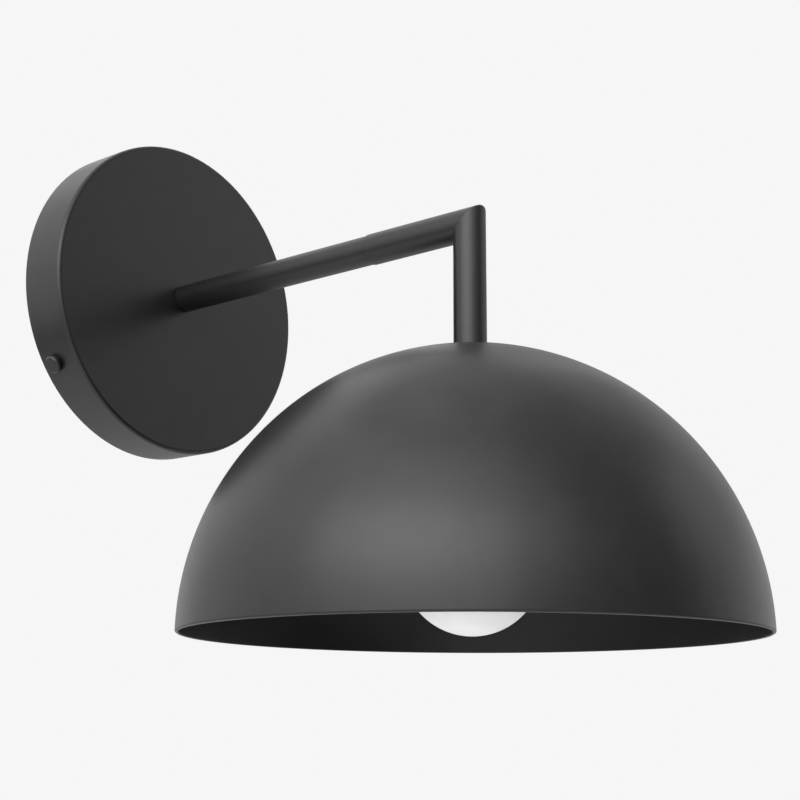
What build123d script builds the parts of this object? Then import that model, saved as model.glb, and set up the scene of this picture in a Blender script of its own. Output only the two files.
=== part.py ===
"""Wall sconce: a round canopy, a mitred arm, a hemispherical shade and a screw-in bulb.

Millimetres. The origin is the centre of the canopy's back, on the wall. +Z is up, the wall lies
in the XZ plane and the arm points away from it along -Y.
"""

import os
from math import acos, atan2, cos, degrees, hypot, pi, radians, sin, sqrt, tan

from build123d import *

# Canopy: the pressed pan that covers the wall box
canopy_diameter = 167.0
canopy_depth = 25.5
canopy_wall = 1.2
canopy_edge_radius = 2.0

# Arm: a straight tube, then a mitred elbow of slightly larger tube
arm_reach = 212.5
elbow_leg = 57.0
drop_length = 61.0
arm_tube_diameter = 14.2
elbow_tube_diameter = 15.0
tube_wall = 1.2
tube_end_chamfer = 0.2
elbow_tip_cut = 1.0

# Threaded nipples and the fittings on them
nipple_diameter = 10.0
nipple_wall = 1.4
nipple_engagement = 10.5
bush_length = 12.0
thread_clearance = 0.1
nut_across_flats = 17.0
nut_thickness = 4.0
nipple_overhang = 0.5

# Washers and the earth lug on the nipples
washer_diameter = 21.0
washer_thickness = 1.2
lug_diameter = 17.0
lug_thickness = 0.8
lug_tail_width = 5.0
lug_tail_end = 18.0
lug_barrel_length = 6.0
lug_barrel_wall = 0.7

# Shade: a spun hemisphere with a small flat seat at its top
shade_radius = 125.0
shade_wall = 1.5
shade_seat_radius = 11.0
shade_rim_radius = 0.5

# Bracket that screws to the wall box and takes the canopy's two side screws
bracket_radius = 54.0
bracket_gauge = 2.0
bracket_wire_hole_radius = 18.0
bracket_bar_width = 18.0
bracket_tab_height = 15.0
bracket_tab_gap = 1.8
bracket_bend_radius = 1.0
box_slot_spacing = 88.9
box_slot_length = 11.0
box_slot_width = 5.0

# Side screws through the canopy's rim
side_screw_angle = 34.5
side_screw_depth = 9.3
side_screw_diameter = 4.0
side_screw_head_diameter = 9.0
side_screw_head_height = 2.8
side_screw_head_chamfer = 0.6
side_screw_length = 11.5
side_screw_clearance = 0.3

# Earth screw on the bracket
ground_screw_height = 38.0
ground_screw_diameter = 4.0
ground_screw_head_diameter = 8.0
ground_screw_head_height = 2.4

# Terminal block on the bracket
block_width = 28.0
block_length = 18.0
block_height = 10.0
block_top = -34.0
block_edge_radius = 0.8
way_pitch = 9.0
way_count = 3
clamp_diameter = 4.6
clamp_bore_radius = 1.3
clamp_length = 14.0
clamp_screw_pitch = 7.0
clamp_screw_diameter = 2.4
clamp_screw_head_diameter = 3.6
clamp_screw_head_height = 1.5
block_screw_diameter = 2.8
block_screw_head_diameter = 4.8
block_screw_head_height = 1.6

# Socket
socket_diameter = 38.0
socket_cap_height = 15.0
socket_cap_wall = 1.6
socket_cap_edge_radius = 2.5
socket_deck_thickness = 5.0
socket_skirt_gap = 0.2
socket_lip_radius = 1.2
screw_shell_length = 24.0
screw_shell_wall = 0.6
contact_thickness = 0.6
contact_width = 7.0
post_spacing = 10.0
post_diameter = 4.6
post_height = 3.0
post_bore_depth = 3.6

# Bulb
bulb_length = 100.0
bulb_diameter = 61.0
bulb_tip_drop = 2.7
bulb_wall = 1.5
bulb_neck_radius = 14.5
bulb_collar_radius = 13.3
bulb_collar_length = 4.5
base_diameter = 26.0
base_length = 17.5
base_wall = 0.5
base_shoulder_height = 2.0
base_shoulder_radius = 10.6
insulator_height = 4.6
tip_radius = 5.0
tip_height = 1.8
tip_edge_radius = 0.9
board_thickness = 1.6
socket_play = 0.4
contact_gap = 0.3

# Wires
wire_diameter = 1.8
wire_offset = 1.7
elbow_bend = 14.0
canopy_bend = 6.0
block_bend = 14.0
socket_bend = 3.0
earth_bend = 8.0
wire_post_rise = 0.8
wire_spread_height = 20.0
earth_drop = 4.0
earth_run_out = 5.0

# General clearance between pieces that are fitted together, and the slack in finding an edge
fit_clearance = 0.1
edge_tolerance = 0.01

# Sizes that follow from the ones above
canopy_radius = canopy_diameter / 2
canopy_inner_radius = canopy_radius - canopy_wall
canopy_inner_depth = canopy_depth - canopy_wall
nipple_radius = nipple_diameter / 2
nipple_bore_radius = nipple_radius - nipple_wall
nipple_hole_radius = nipple_radius + thread_clearance
seam_reach = arm_reach - elbow_leg
washer_depth = canopy_inner_depth - washer_thickness
lug_depth = washer_depth - lug_thickness
arm_nut_depth = lug_depth - nut_thickness
arm_nipple_depth = arm_nut_depth - nipple_overhang
tab_outer_radius = canopy_inner_radius - bracket_tab_gap
tab_inner_radius = tab_outer_radius - bracket_gauge
side_screw_hole_radius = side_screw_diameter / 2 + side_screw_clearance

way_depth = bracket_gauge + block_height / 2
block_front_depth = bracket_gauge + block_height
block_middle = block_top - block_length / 2
wire_radius = wire_diameter / 2
way_places = [(way - (way_count - 1) / 2) * way_pitch for way in range(way_count)]
ground_screw_places = [(0, ground_screw_height)]
block_screw_places = [(x + way_pitch / 2, block_middle) for x in way_places[:-1]]
clamp_screw_rows = (block_middle - clamp_screw_pitch / 2, block_middle + clamp_screw_pitch / 2)
clamp_screw_places = [(x, z) for x in way_places for z in clamp_screw_rows]

shade_top = -drop_length
shade_under = shade_top - shade_wall
rim_height = shade_top - sqrt(shade_radius**2 - shade_seat_radius**2)
shade_inner_radius = shade_radius - shade_wall
shade_inner_seat = sqrt(shade_inner_radius**2 - (shade_under - rim_height) ** 2)
shade_nut_top = shade_under - washer_thickness
socket_top = shade_nut_top - nut_thickness
socket_floor = socket_top - socket_cap_height
deck_top = socket_floor + socket_deck_thickness
post_top = deck_top + post_height
post_x = post_spacing / 2
shade_nipple_end = socket_top - socket_cap_wall - nipple_overhang

bulb_tip = socket_floor - bulb_tip_drop
bulb_bottom = bulb_tip - bulb_length
bulb_radius = bulb_diameter / 2
bulb_centre = bulb_bottom + bulb_radius
insulator_top = bulb_tip - tip_height
base_top = insulator_top - insulator_height
base_bottom = base_top - base_length
base_radius = base_diameter / 2
neck_height = base_bottom - bulb_collar_length
neck_rise = neck_height - bulb_centre
neck_angle = degrees(atan2(neck_rise, bulb_neck_radius))
tangent_angle = neck_angle - degrees(acos(bulb_radius / hypot(bulb_neck_radius, neck_rise)))
joint_radius = bulb_radius * cos(radians(tangent_angle))
joint_height = bulb_centre + bulb_radius * sin(radians(tangent_angle))
shell_inner_radius = base_radius + socket_play
shell_radius = shell_inner_radius + screw_shell_wall

# Planes: depth planes face away from the wall, level planes are centred on the shade's axis
shade_axis = Axis((0, -arm_reach, 0), (0, 0, 1))
shade_section = Plane.XZ.offset(arm_reach)
mitre_plane = Plane(origin=(0, -arm_reach, 0), x_dir=(1, 0, 0), z_dir=(0, 1, 1))


def depth_plane(depth):
    """Plane parallel to the wall, depth away from it, facing the room."""
    return Plane.XZ.offset(depth)


def level_plane(height):
    """Horizontal plane centred on the shade's axis, facing up."""
    return Plane(origin=(0, -arm_reach, height))


def save(piece, name):
    """Label a finished piece and write it under its own name."""
    piece.part.label = name
    export_step(piece.part, f"parts/{name}.step")


def ring(plane, outer_radius, inner_radius, length):
    """A round tube, bush, nipple or washer that rises from a plane."""
    with BuildPart() as piece:
        with BuildSketch(plane):
            Circle(outer_radius)
            Circle(inner_radius, mode=Mode.SUBTRACT)
        extrude(amount=length)
    return piece


def hex_nut(plane):
    """A thin hexagon nut for the nipple thread."""
    with BuildPart() as piece:
        with BuildSketch(plane):
            RegularPolygon(nut_across_flats / 2, 6, major_radius=False)
            Circle(nipple_hole_radius, mode=Mode.SUBTRACT)
        extrude(amount=nut_thickness)
    return piece


def headed_screws(plane, places, diameter, length, head_diameter, head_height):
    """Screws at places on a plane: each head rises from it and each shank runs back through it."""
    with BuildPart() as pieces:
        for radius, height in ((head_diameter / 2, head_height), (diameter / 2, -length)):
            with BuildSketch(plane):
                with Locations(*places):
                    Circle(radius)
            extrude(amount=height)
    return pieces


def side_screw_plane(angle, radius):
    """Plane across a side screw's axis at a radius from the canopy's centre, facing outward."""
    outward = Vector(cos(radians(angle)), 0, sin(radians(angle)))
    centre = outward * radius - Vector(0, side_screw_depth, 0)
    return Plane(origin=centre, x_dir=(0, -1, 0), z_dir=outward)


def wire(points, bends):
    """An insulated wire along straight runs joined by tangent arcs."""
    with BuildPart() as piece:
        with BuildLine() as route:
            FilletPolyline(*points, radius=bends)
        path = route.wires()[0]
        with BuildSketch(Plane(origin=path @ 0, z_dir=path % 0)):
            Circle(wire_radius)
        sweep(path=path)
    volume = pi * wire_radius**2 * path.length
    print(f"wire length {path.length:.1f}, bends {bends}, volume ratio {piece.part.volume / volume:.4f}")
    return piece


os.makedirs("parts", exist_ok=True)
screw_angles = {"right": side_screw_angle, "left": side_screw_angle + 180}

# Canopy
with BuildPart() as canopy:
    with BuildSketch(Plane.XY):
        with BuildLine():
            Polyline(
                (nipple_hole_radius, -canopy_depth),
                (canopy_radius, -canopy_depth),
                (canopy_radius, 0),
                (canopy_inner_radius, 0),
                (canopy_inner_radius, -canopy_inner_depth),
                (nipple_hole_radius, -canopy_inner_depth),
                close=True,
            )
        make_face()
    revolve(axis=Axis.Y)
    front_edge = canopy.edges().group_by(Axis.Y)[0].sort_by(SortBy.RADIUS)[-1]
    fillet(front_edge, canopy_edge_radius)
    for angle in screw_angles.values():
        with BuildSketch(side_screw_plane(angle, canopy_radius)):
            Circle(side_screw_hole_radius)
        extrude(amount=2 * canopy_wall, both=True, mode=Mode.SUBTRACT)
save(canopy, "canopy")

# Wall bracket: a round plate with a bar across it whose ends bend forward as tabs
with BuildPart() as wall_bracket:
    with BuildSketch(Plane.XZ):
        Circle(bracket_radius)
        Rectangle(2 * tab_outer_radius, bracket_bar_width, rotation=side_screw_angle)
        Circle(bracket_wire_hole_radius, mode=Mode.SUBTRACT)
        with GridLocations(box_slot_spacing, 0, 2, 1):
            SlotOverall(box_slot_length, box_slot_width, mode=Mode.SUBTRACT)
        with Locations(*ground_screw_places):
            Circle(ground_screw_diameter / 2 + thread_clearance, mode=Mode.SUBTRACT)
        with Locations(*block_screw_places):
            Circle(block_screw_diameter / 2 + thread_clearance, mode=Mode.SUBTRACT)
    extrude(amount=bracket_gauge)
    with BuildSketch(Plane.XZ):
        with PolarLocations(tab_outer_radius - bracket_gauge / 2, 2, start_angle=side_screw_angle):
            Rectangle(bracket_gauge, bracket_bar_width)
    extrude(amount=bracket_tab_height)
    for bend_depth, bend_reach, bend_radius in (
        (bracket_gauge, tab_inner_radius, bracket_bend_radius),
        (0, tab_outer_radius, bracket_bend_radius + bracket_gauge),
    ):
        bend_edges = wall_bracket.edges().filter_by(
            lambda edge: abs(edge.center().Y + bend_depth) < edge_tolerance
            and abs(hypot(edge.center().X, edge.center().Z) - bend_reach) < edge_tolerance
        )
        fillet(bend_edges, bend_radius)
    for angle in screw_angles.values():
        with BuildSketch(side_screw_plane(angle, tab_outer_radius)):
            Circle(side_screw_hole_radius)
        extrude(amount=2 * bracket_gauge, both=True, mode=Mode.SUBTRACT)
save(wall_bracket, "wall_bracket")

# Side screws: round thumb heads just clear of the canopy's rim
for side, angle in screw_angles.items():
    with BuildPart() as side_screw:
        with BuildSketch(side_screw_plane(angle, canopy_radius + side_screw_clearance)):
            Circle(side_screw_head_diameter / 2)
        extrude(amount=side_screw_head_height)
        outer_edge = side_screw.faces().filter_by(GeomType.PLANE)
        outer_edge = outer_edge.sort_by(lambda face: face.center().length)[-1].edges()
        chamfer(outer_edge, side_screw_head_chamfer)
        with BuildSketch(side_screw_plane(angle, canopy_radius + side_screw_clearance)):
            Circle(side_screw_diameter / 2)
        extrude(amount=-side_screw_length)
    save(side_screw, f"side_screw_{side}")

# Earth screw in the bracket
ground_screw = headed_screws(
    depth_plane(bracket_gauge),
    ground_screw_places,
    ground_screw_diameter,
    bracket_gauge,
    ground_screw_head_diameter,
    ground_screw_head_height,
)
save(ground_screw, "ground_screw")

# Terminal block: three ways side by side, each a bored lane with two screw wells
with BuildPart() as terminal_block:
    with BuildSketch(depth_plane(bracket_gauge)):
        with Locations((0, block_middle)):
            RectangleRounded(block_width, block_length, block_edge_radius)
        with Locations(*block_screw_places):
            Circle(block_screw_diameter / 2 + thread_clearance, mode=Mode.SUBTRACT)
    extrude(amount=block_height)
    with BuildSketch(Plane(origin=(0, -way_depth, block_top))):
        with GridLocations(way_pitch, 0, way_count, 1):
            Circle(clamp_diameter / 2 + fit_clearance)
    extrude(amount=-block_length, mode=Mode.SUBTRACT)
    with BuildSketch(depth_plane(way_depth)):
        with Locations(*clamp_screw_places):
            Circle(clamp_screw_head_diameter / 2 + fit_clearance)
    extrude(amount=block_height, mode=Mode.SUBTRACT)
save(terminal_block, "terminal_block")

# Brass clamps in the block's lanes, tapped for the screws
with BuildPart() as terminal_clamps:
    with BuildSketch(Plane(origin=(0, -way_depth, block_middle + clamp_length / 2))):
        with GridLocations(way_pitch, 0, way_count, 1):
            Circle(clamp_diameter / 2)
            Circle(clamp_bore_radius, mode=Mode.SUBTRACT)
    extrude(amount=-clamp_length)
    with BuildSketch(depth_plane(way_depth)):
        with Locations(*clamp_screw_places):
            Circle(clamp_screw_diameter / 2 + thread_clearance)
    extrude(amount=clamp_diameter, mode=Mode.SUBTRACT)
save(terminal_clamps, "terminal_clamps")

# Clamp screws, tips just clear of the wires, and the screws that hold the block to the bracket
clamp_head_depth = way_depth + clamp_diameter / 2 + fit_clearance
terminal_screws = headed_screws(
    depth_plane(clamp_head_depth),
    clamp_screw_places,
    clamp_screw_diameter,
    clamp_head_depth - way_depth - wire_radius - fit_clearance,
    clamp_screw_head_diameter,
    clamp_screw_head_height,
)
save(terminal_screws, "terminal_screws")
terminal_block_screws = headed_screws(
    depth_plane(block_front_depth),
    block_screw_places,
    block_screw_diameter,
    block_front_depth,
    block_screw_head_diameter,
    block_screw_head_height,
)
save(terminal_block_screws, "terminal_block_screws")

# Arm nipple and what clamps it inside the canopy
arm_nipple_length = canopy_depth + nipple_engagement - arm_nipple_depth
arm_nipple = ring(depth_plane(arm_nipple_depth), nipple_radius, nipple_bore_radius, arm_nipple_length)
save(arm_nipple, "arm_nipple")
arm_lock_washer = ring(
    depth_plane(washer_depth), washer_diameter / 2, nipple_hole_radius, washer_thickness
)
save(arm_lock_washer, "arm_lock_washer")
arm_nut = hex_nut(depth_plane(arm_nut_depth))
save(arm_nut, "arm_nut")

# Earth lug: a flat eye with a tail and a crimped barrel for the earth wire
barrel_radius = wire_radius + fit_clearance + lug_barrel_wall
barrel_depth = lug_depth - barrel_radius + fit_clearance
with BuildPart() as earth_lug:
    with BuildSketch(depth_plane(lug_depth)):
        Circle(lug_diameter / 2)
        with Locations((0, -lug_tail_end / 2)):
            Rectangle(lug_tail_width, lug_tail_end)
        Circle(nipple_hole_radius, mode=Mode.SUBTRACT)
    extrude(amount=lug_thickness)
    with BuildSketch(Plane(origin=(0, -barrel_depth, -lug_tail_end))):
        Circle(barrel_radius)
    extrude(amount=lug_barrel_length)
    with BuildSketch(Plane(origin=(0, -barrel_depth, -lug_tail_end))):
        Circle(wire_radius + fit_clearance)
    extrude(amount=lug_barrel_length, mode=Mode.SUBTRACT)
save(earth_lug, "earth_lug")

# Arm tube from the canopy to the seam, its ends lightly chamfered
arm_tube_radius = arm_tube_diameter / 2
arm_tube_bore = arm_tube_radius - tube_wall
arm_tube_length = seam_reach - canopy_depth
with BuildPart() as arm_tube:
    with BuildSketch(depth_plane(canopy_depth)):
        Circle(arm_tube_radius)
        Circle(arm_tube_bore, mode=Mode.SUBTRACT)
    extrude(amount=arm_tube_length)
    tube_rims = arm_tube.edges().filter_by(GeomType.CIRCLE).group_by(SortBy.RADIUS)[-1]
    chamfer(tube_rims, tube_end_chamfer)
save(arm_tube, "arm_tube")

# Elbow: two legs of tube cut by the mitre plane, which they share face to face. The tip that
# grinding takes off the welded corner lies outside a ball about the crossing of their axes
elbow_radius = elbow_tube_diameter / 2
elbow_bore = elbow_radius - tube_wall
elbow_ball_radius = sqrt(2) * elbow_radius - elbow_tip_cut
with BuildPart(level_plane(0)) as elbow_tip:
    Box(
        elbow_tube_diameter,
        elbow_tube_diameter,
        elbow_tube_diameter,
        align=(Align.CENTER, Align.MAX, Align.MIN),
    )
    Sphere(elbow_ball_radius, mode=Mode.SUBTRACT)

with BuildPart() as elbow_arm_tube:
    with BuildSketch(depth_plane(seam_reach)):
        Circle(elbow_radius)
        Circle(elbow_bore, mode=Mode.SUBTRACT)
    extrude(amount=elbow_leg + elbow_tube_diameter)
    seam_rim = elbow_arm_tube.edges().group_by(Axis.Y)[-1].sort_by(SortBy.RADIUS)[-1]
    chamfer(seam_rim, tube_end_chamfer)
    split(bisect_by=mitre_plane, keep=Keep.TOP)
    add(elbow_tip.part, mode=Mode.SUBTRACT)
save(elbow_arm_tube, "elbow_arm_tube")

with BuildPart() as elbow_drop_tube:
    with BuildSketch(level_plane(shade_top)):
        Circle(elbow_radius)
        Circle(elbow_bore, mode=Mode.SUBTRACT)
    extrude(amount=drop_length + elbow_tube_diameter)
    shade_rim = elbow_drop_tube.edges().group_by(Axis.Z)[0].sort_by(SortBy.RADIUS)[-1]
    chamfer(shade_rim, tube_end_chamfer)
    split(bisect_by=mitre_plane, keep=Keep.BOTTOM)
    add(elbow_tip.part, mode=Mode.SUBTRACT)
save(elbow_drop_tube, "elbow_drop_tube")

# Threaded bushes in the tube ends and the nipples that join them
bush_seats = {
    "arm_base_bush": (depth_plane(canopy_depth), arm_tube_bore),
    "arm_end_bush": (depth_plane(seam_reach - bush_length), arm_tube_bore),
    "elbow_end_bush": (depth_plane(seam_reach), elbow_bore),
    "drop_end_bush": (level_plane(shade_top), elbow_bore),
}
for bush_name, (seat, bore_radius) in bush_seats.items():
    bush = ring(seat, bore_radius - fit_clearance, nipple_hole_radius, bush_length)
    save(bush, bush_name)

coupling_nipple = ring(
    depth_plane(seam_reach - nipple_engagement),
    nipple_radius,
    nipple_bore_radius,
    2 * nipple_engagement,
)
save(coupling_nipple, "coupling_nipple")

shade_nipple = ring(
    level_plane(shade_nipple_end),
    nipple_radius,
    nipple_bore_radius,
    shade_top + nipple_engagement - shade_nipple_end,
)
save(shade_nipple, "shade_nipple")

# Shade: outer and inner arcs about one centre in the rim's plane, flat where the tube stands
with BuildPart() as shade:
    with BuildSketch(shade_section) as shade_profile:
        with BuildLine():
            RadiusArc((shade_radius, rim_height), (shade_seat_radius, shade_top), -shade_radius)
            Polyline(
                (shade_seat_radius, shade_top),
                (nipple_hole_radius, shade_top),
                (nipple_hole_radius, shade_under),
                (shade_inner_seat, shade_under),
            )
            RadiusArc(
                (shade_inner_seat, shade_under),
                (shade_inner_radius, rim_height),
                shade_inner_radius,
            )
            Line((shade_inner_radius, rim_height), (shade_radius, rim_height))
        make_face()
        fillet(shade_profile.vertices().group_by(Axis.Z)[0], shade_rim_radius)
    revolve(axis=shade_axis)
save(shade, "shade")

shade_washer = ring(
    level_plane(shade_nut_top), washer_diameter / 2, nipple_hole_radius, washer_thickness
)
save(shade_washer, "shade_washer")
shade_nut = hex_nut(level_plane(socket_top))
save(shade_nut, "shade_nut")

# Socket cap: a cup over the terminals, held on the shade nipple
socket_radius = socket_diameter / 2
cap_inner_radius = socket_radius - socket_cap_wall
with BuildPart() as socket_cap:
    with BuildSketch(shade_section):
        with BuildLine():
            Polyline(
                (nipple_hole_radius, socket_top),
                (socket_radius, socket_top),
                (socket_radius, socket_floor),
                (cap_inner_radius, socket_floor),
                (cap_inner_radius, socket_top - socket_cap_wall),
                (nipple_hole_radius, socket_top - socket_cap_wall),
                close=True,
            )
        make_face()
    revolve(axis=shade_axis)
    cap_edge = socket_cap.edges().group_by(Axis.Z)[-1].sort_by(SortBy.RADIUS)[-1]
    fillet(cap_edge, socket_cap_edge_radius)
save(socket_cap, "socket_cap")

# Socket body: a deck inside the cap that carries the contacts, and the skirt below it
skirt_bottom = base_bottom + socket_skirt_gap
with BuildPart() as socket_body:
    with BuildSketch(level_plane(socket_floor)):
        Circle(cap_inner_radius - fit_clearance)
        with GridLocations(post_spacing, 0, 2, 1):
            Circle(post_diameter / 2 + fit_clearance, mode=Mode.SUBTRACT)
    extrude(amount=socket_deck_thickness)
    with BuildSketch(level_plane(skirt_bottom)):
        Circle(socket_radius)
        Circle(shell_radius + fit_clearance, mode=Mode.SUBTRACT)
    extrude(amount=socket_floor - skirt_bottom)
    skirt_edge = socket_body.edges().group_by(Axis.Z)[0].sort_by(SortBy.RADIUS)[-1]
    fillet(skirt_edge, socket_lip_radius)
save(socket_body, "socket_body")

# Screw shell: the brass sleeve, with a tab that reaches the neutral post
tab_reach = shell_radius - screw_shell_wall / 2 - post_x
with BuildPart() as screw_shell:
    with BuildSketch(level_plane(socket_floor)):
        Circle(shell_radius)
        Circle(shell_inner_radius, mode=Mode.SUBTRACT)
    extrude(amount=-screw_shell_length)
    with BuildSketch(level_plane(socket_floor)):
        with Locations((post_x + tab_reach / 2, 0)):
            Rectangle(tab_reach, contact_width)
    extrude(amount=-contact_thickness)
save(screw_shell, "screw_shell")

# Centre contact: a sprung tongue from the live post down to the bulb's tip
contact_end = bulb_tip + contact_gap
tongue_start = -tip_radius / 5
tongue_end = tip_radius * 3 / 5
with BuildPart() as centre_contact:
    with BuildSketch(shade_section):
        with BuildLine():
            Polyline(
                (-post_x - post_diameter / 2, socket_floor),
                (tongue_start, socket_floor),
                (tongue_end, contact_end + contact_thickness),
                (tip_radius - contact_thickness, contact_end + contact_thickness),
                (tip_radius - contact_thickness, contact_end),
                (tongue_end, contact_end),
                (tongue_start, socket_floor - contact_thickness),
                (-post_x - post_diameter / 2, socket_floor - contact_thickness),
                close=True,
            )
        make_face()
    extrude(amount=contact_width / 2, both=True)
save(centre_contact, "centre_contact")

# Terminal posts through the deck, bored for the wires
with BuildPart() as socket_terminals:
    with BuildSketch(level_plane(socket_floor)):
        with GridLocations(post_spacing, 0, 2, 1):
            Circle(post_diameter / 2)
    extrude(amount=post_top - socket_floor)
    with BuildSketch(level_plane(post_top)):
        with GridLocations(post_spacing, 0, 2, 1):
            Circle(wire_radius + fit_clearance)
    extrude(amount=-post_bore_depth, mode=Mode.SUBTRACT)
save(socket_terminals, "socket_terminals")

# Live and neutral wires: socket posts, up the drop tube, along the arm and down to the block
wire_end = post_top - post_bore_depth + fit_clearance
way_end = block_middle + fit_clearance
for wire_name, side in {"live_wire": -1, "neutral_wire": 1}.items():
    lead_points = [
        (side * post_x, -arm_reach, wire_end),
        (side * post_x, -arm_reach, post_top + wire_post_rise),
        (side * wire_offset, -arm_reach, shade_nipple_end - fit_clearance),
        (side * wire_offset, -arm_reach, 0),
        (side * wire_offset, -way_depth, 0),
        (side * way_pitch, -way_depth, -wire_spread_height),
        (side * way_pitch, -way_depth, way_end),
    ]
    lead = wire(lead_points, [socket_bend, socket_bend, elbow_bend, canopy_bend, block_bend])
    save(lead, wire_name)

# Earth wire: from the lug's barrel to the block's middle way
earth_points = [
    (0, -barrel_depth, -lug_tail_end + lug_barrel_length - fit_clearance),
    (0, -barrel_depth, -lug_tail_end - earth_drop),
    (0, -way_depth, block_top + earth_run_out),
    (0, -way_depth, way_end),
]
earth_wire = wire(earth_points, [earth_bend, earth_bend])
save(earth_wire, "earth_wire")

# Bulb globe: the opal end, a sphere cut where the housing's cone runs on tangent to it
globe_inner_radius = bulb_radius - bulb_wall
with BuildPart() as bulb_globe:
    with BuildSketch(shade_section):
        with BuildLine():
            outer_arc = CenterArc((0, bulb_centre), bulb_radius, -90, 90 + tangent_angle)
            inner_arc = CenterArc((0, bulb_centre), globe_inner_radius, -90, 90 + tangent_angle)
            Line(outer_arc @ 0, inner_arc @ 0)
            Line(outer_arc @ 1, inner_arc @ 1)
        make_face()
    revolve(axis=shade_axis)
save(bulb_globe, "bulb_globe")

# Bulb housing: the cone between the globe and the screw base
seat_cos = cos(radians(tangent_angle))
seat_sin = sin(radians(tangent_angle))
seat_inner = (joint_radius - bulb_wall * seat_cos, joint_height - bulb_wall * seat_sin)
with BuildPart() as bulb_housing:
    with BuildSketch(shade_section):
        with BuildLine():
            Polyline(
                (joint_radius, joint_height),
                (bulb_neck_radius, neck_height),
                (bulb_collar_radius, base_bottom),
                (bulb_collar_radius - bulb_wall, base_bottom),
                (bulb_neck_radius - bulb_wall, neck_height),
                seat_inner,
                close=True,
            )
        make_face()
    revolve(axis=shade_axis)
save(bulb_housing, "bulb_housing")

# Board with the light source, pushed up into the housing's mouth
board_slope = tan(radians(tangent_angle))
board_radius = seat_inner[0] - board_slope * board_thickness - fit_clearance
bulb_led_board = ring(level_plane(seat_inner[1]), board_radius, tip_radius, board_thickness)
save(bulb_led_board, "bulb_led_board")

# Screw base: a thin cup, drawn in at the top to the insulator
with BuildPart() as bulb_screw_base:
    with BuildSketch(shade_section):
        with BuildLine():
            Polyline(
                (base_radius, base_bottom),
                (base_radius, base_top - base_shoulder_height),
                (base_shoulder_radius, base_top),
                (base_shoulder_radius - base_wall, base_top),
                (base_radius - base_wall, base_top - base_shoulder_height),
                (base_radius - base_wall, base_bottom),
                close=True,
            )
        make_face()
    revolve(axis=shade_axis)
save(bulb_screw_base, "bulb_screw_base")

with BuildPart() as bulb_insulator:
    with BuildSketch(level_plane(base_top)):
        Circle(base_shoulder_radius)
    with BuildSketch(level_plane(insulator_top)):
        Circle(tip_radius)
    loft()
save(bulb_insulator, "bulb_insulator")

with BuildPart() as bulb_tip_contact:
    with BuildSketch(level_plane(insulator_top)):
        Circle(tip_radius - fit_clearance)
    extrude(amount=tip_height)
    tip_edge = bulb_tip_contact.edges().group_by(Axis.Z)[-1]
    fillet(tip_edge, tip_edge_radius)
save(bulb_tip_contact, "bulb_tip_contact")
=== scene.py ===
"""Looks of the wall sconce: finishes for its solids and finer surfaces for its turned pieces.

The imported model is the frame. The lamp's sizes are in millimetres here and become the frame's
metres where points are placed. The studio's sizes are in metres. The origin is the centre of the
canopy's back on the wall, +Z is up, and the arm points away from the wall along -Y.
"""

import logging
from abc import ABC, abstractmethod
from dataclasses import dataclass, field
from enum import Enum

import bpy
import numpy as np
from mathutils import Matrix, Vector

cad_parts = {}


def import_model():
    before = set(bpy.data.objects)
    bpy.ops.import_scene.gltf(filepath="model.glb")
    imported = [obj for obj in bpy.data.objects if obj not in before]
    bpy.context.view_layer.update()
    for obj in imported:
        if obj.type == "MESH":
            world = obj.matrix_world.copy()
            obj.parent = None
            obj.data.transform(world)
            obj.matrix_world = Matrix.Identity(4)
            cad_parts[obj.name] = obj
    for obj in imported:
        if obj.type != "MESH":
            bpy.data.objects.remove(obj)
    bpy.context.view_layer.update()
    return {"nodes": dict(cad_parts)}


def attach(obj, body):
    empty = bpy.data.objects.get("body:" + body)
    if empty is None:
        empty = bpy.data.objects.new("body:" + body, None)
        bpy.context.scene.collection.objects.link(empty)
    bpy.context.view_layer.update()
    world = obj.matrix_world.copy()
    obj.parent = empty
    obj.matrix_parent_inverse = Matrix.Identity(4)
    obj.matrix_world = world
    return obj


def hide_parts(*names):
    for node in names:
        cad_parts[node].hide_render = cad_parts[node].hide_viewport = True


log = logging.getLogger("sconce")

Pair = tuple[float, float]
Triple = tuple[float, float, float]
Value = float | tuple[float, ...] | bpy.types.NodeSocket

MM = 0.001
# Points of a profile that lie closer than this are one point
SAME_POINT = 1e-6
# Faces that meet at a sharper angle than this, in degrees, keep their edge
SHARP_ANGLE = 28.0
# How far inside a crest a point may lie and still be threaded
CREST_SLACK = 0.01
# The middle of a grain's values, which is spread over the wanted range
GRAIN_LOW, GRAIN_HIGH = 0.3, 0.7
# How many finer layers each kind of grain has
TONE_DETAIL, FINE_DETAIL, PEEL_DETAIL = 3.0, 2.0, 1.0
# Numbers of the mix node's sockets for colours, whose names are not unique
MIX_SHARE, MIX_FIRST, MIX_SECOND, MIX_RESULT = 0, 6, 7, 2


class Body(Enum):
    """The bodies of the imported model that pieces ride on."""

    FIXTURE = "fixture"
    BULB = "bulb"
    LEFT_SCREW = "side_screw_left"
    RIGHT_SCREW = "side_screw_right"


class Slot(Enum):
    """The record's material slots."""

    COAT = "charcoal_coat"
    ZINC = "zinc_steel"
    GREEN_STEEL = "green_steel"
    BRASS = "brass"
    NYLON = "ivory_nylon"
    PHENOLIC = "black_phenolic"
    BLACK_WIRE = "black_insulation"
    WHITE_WIRE = "white_insulation"
    GREEN_WIRE = "green_insulation"
    OPAL = "opal_diffuser"
    BULB_PLASTIC = "bulb_plastic"
    BOARD = "board_aluminium"
    NICKEL = "base_nickel"


# Surfaces


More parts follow.
